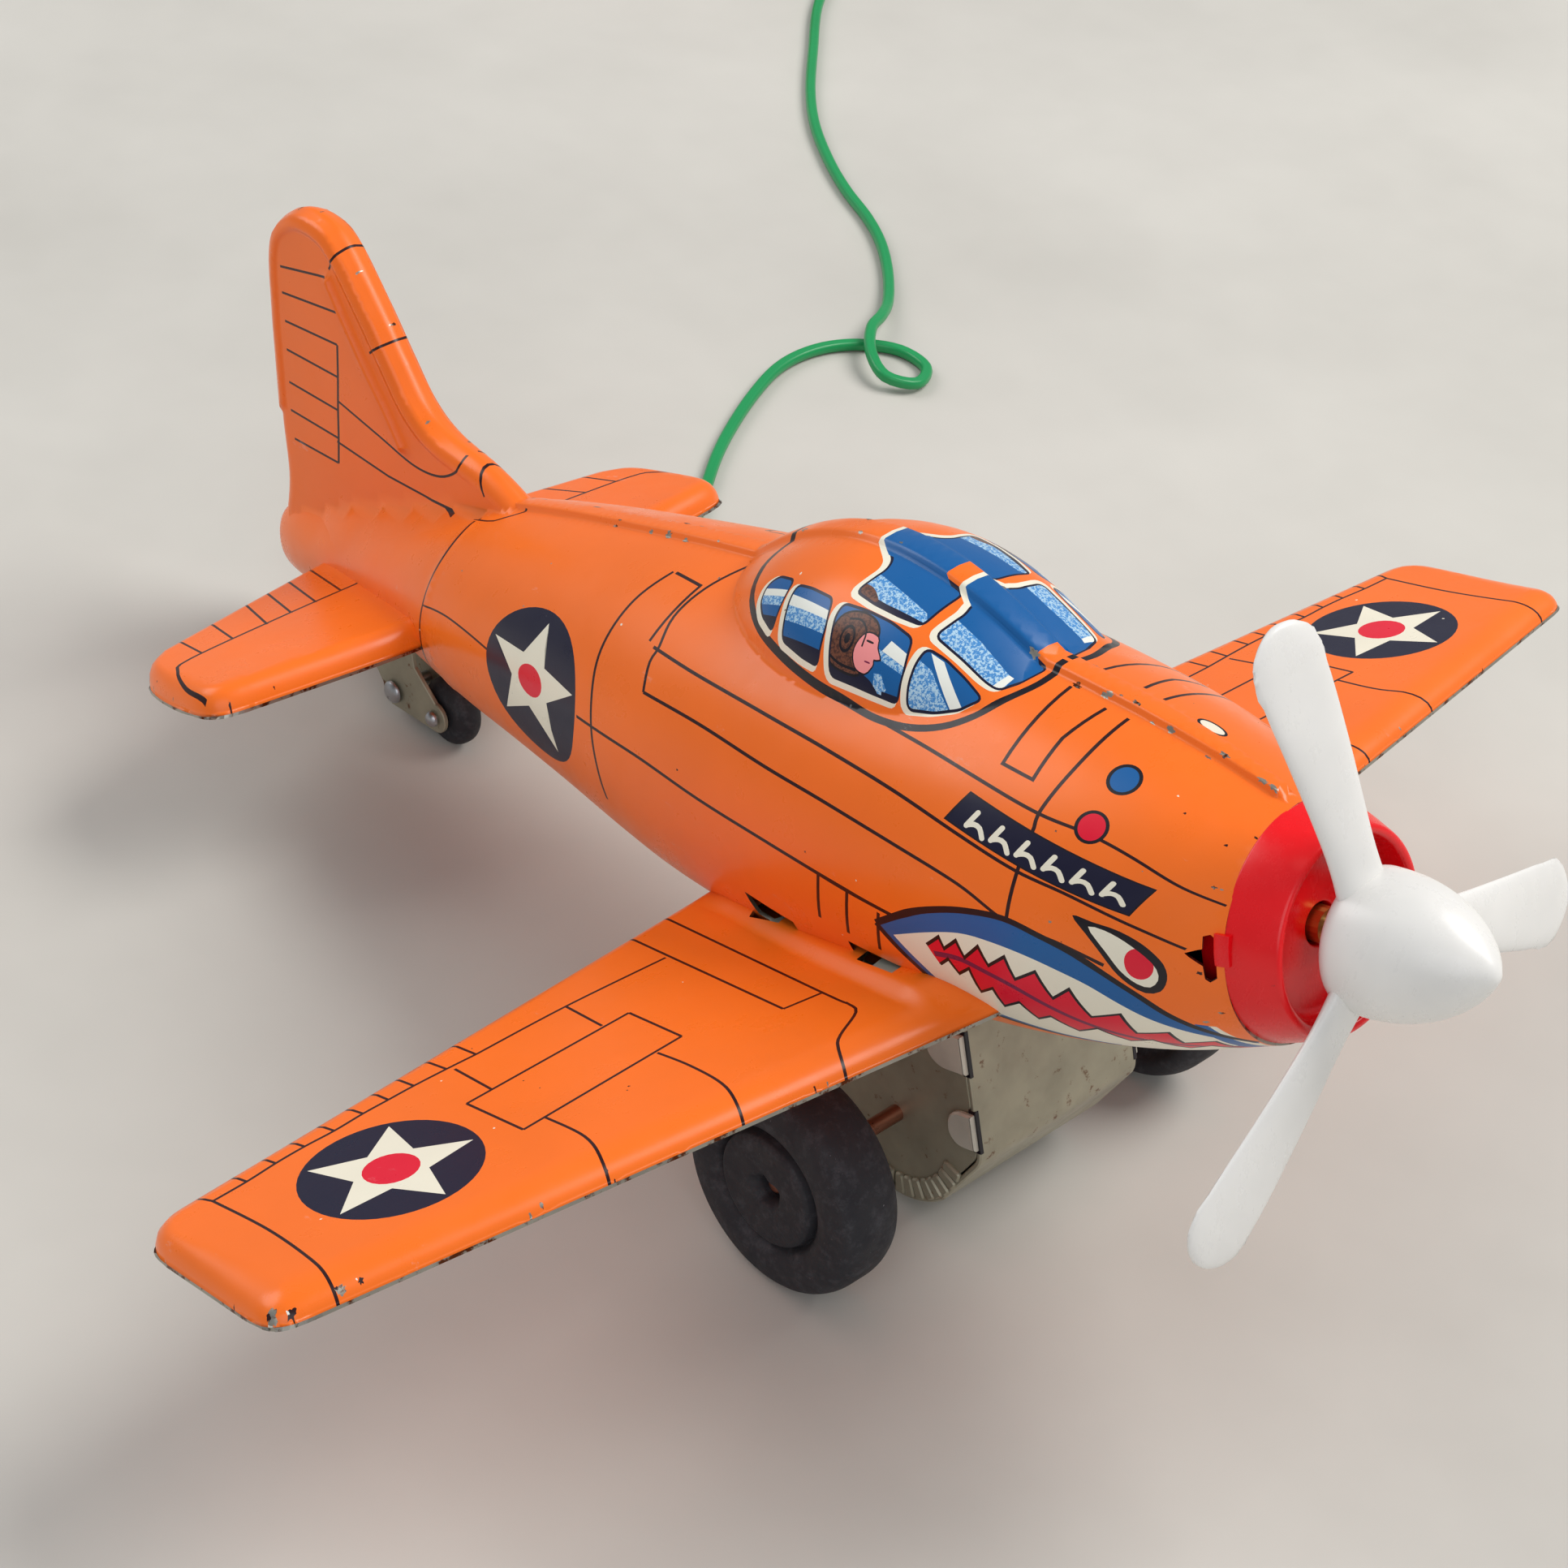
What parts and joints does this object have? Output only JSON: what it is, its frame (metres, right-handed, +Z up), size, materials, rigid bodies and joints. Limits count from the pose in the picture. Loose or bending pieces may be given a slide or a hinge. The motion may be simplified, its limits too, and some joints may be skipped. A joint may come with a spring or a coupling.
{
  "type": "toy airplane",
  "caption": "Tinplate toy fighter plane with a spinning propeller, geared road wheels and a wired hand-held battery box.",
  "frame": {"origin": "on the ground, at the middle of the plane's own footprint", "axes": "+Z up, the nose points towards -Y, the starboard wing points towards -X; the plane stands nose-up on its wheels"},
  "size_m": [0.4136, 0.468, 0.1168],
  "materials": {
    "litho_tin": "gloss printed tinplate",
    "drab_tin": "worn satin over tin",
    "red_plastic": "gloss",
    "white_plastic": "gloss",
    "tyre": "matt, dusty",
    "steel": "bright",
    "copper": "copper plated, satin",
    "brass": "satin",
    "nylon": "matt",
    "black_plastic": "matt",
    "ferrite": "matt",
    "lead_green": "soft gloss",
    "cell_jacket": "gloss",
    "case_tin": "gloss enamel"
  },
  "bodies": {
    "airframe": {"fuselage_starboard": "litho_tin", "wing_starboard_upper": "litho_tin", "wing_starboard_lower": "litho_tin", "tailplane_starboard": "litho_tin", "gearbox_cheek_starboard": "drab_tin", "motor_magnet_starboard": "ferrite", "fuselage_port": "litho_tin", "wing_port_upper": "litho_tin", "wing_port_lower": "litho_tin", "tailplane_port": "litho_tin", "gearbox_cheek_port": "drab_tin", "motor_magnet_port": "ferrite", "nose_ring": "red_plastic", "shaft_bush": "brass", "motor_can": "steel", "motor_end_cap": "nylon", "motor_plate": "drab_tin", "worm_wheel_shaft": "steel", "idler_shaft": "steel", "gearbox_wrap": "drab_tin", "tail_fork": "drab_tin", "tail_axle": "steel", "tail_rivet": "steel", "belly_grommet": "black_plastic", "lead": "lead_green", "lead_end": "lead_green", "lead_coil": "lead_green", "lead_clip": "black_plastic", "case_tray": "case_tin", "case_lid": "case_tin", "cell_a": "cell_jacket", "cell_b": "cell_jacket", "cell_bridge": "brass", "contact_a": "brass", "contact_b": "brass", "spring_a": "steel", "spring_b": "steel", "case_grommet": "black_plastic"},
    "propeller": {"propeller": "white_plastic", "drive_shaft": "steel", "motor_rotor": "copper", "worm": "brass"},
    "worm_wheel": {"worm_wheel": "nylon"},
    "idler": {"idler_gear": "nylon"},
    "road_axle": {"road_axle": "copper", "axle_gear": "brass", "wheel_starboard": "tyre", "wheel_port": "tyre"},
    "tail_wheel": {"tail_wheel": "tyre"},
    "drive_button": {"drive_button": "black_plastic"}
  },
  "joints": [
    {"name": "propeller_spin", "type": "hinge", "parent": "airframe", "child": "propeller", "pos_m": [0, -0.0971, 0.07717], "axis": [0, 0.9361, -0.3518], "continuous": true},
    {"name": "worm_wheel_spin", "type": "hinge", "parent": "airframe", "child": "worm_wheel", "pos_m": [0, -0.03858, 0.03958], "axis": [1, 0, 0], "continuous": true},
    {"name": "idler_spin", "type": "hinge", "parent": "airframe", "child": "idler", "pos_m": [0, -0.03703, 0.02874], "axis": [1, 0, 0], "continuous": true},
    {"name": "road_axle_spin", "type": "hinge", "parent": "airframe", "child": "road_axle", "pos_m": [0, -0.04488, 0.01599], "axis": [1, 0, 0], "continuous": true},
    {"name": "tail_wheel_spin", "type": "hinge", "parent": "airframe", "child": "tail_wheel", "pos_m": [0, 0.0683, 0.0056], "axis": [1, 0, 0], "continuous": true},
    {"name": "drive_button_press", "type": "slide", "parent": "airframe", "child": "drive_button", "axis": [0, 0, -1], "range_m": [0, 0.0025], "stiffness_N_per_m": 180, "springref_m": -0.0006}
  ],
  "couplings": [
    {"joint": "worm_wheel_spin", "follows": "propeller_spin", "ratio": 0.045455},
    {"joint": "idler_spin", "follows": "propeller_spin", "ratio": -0.025974},
    {"joint": "road_axle_spin", "follows": "propeller_spin", "ratio": 0.022727}
  ]
}
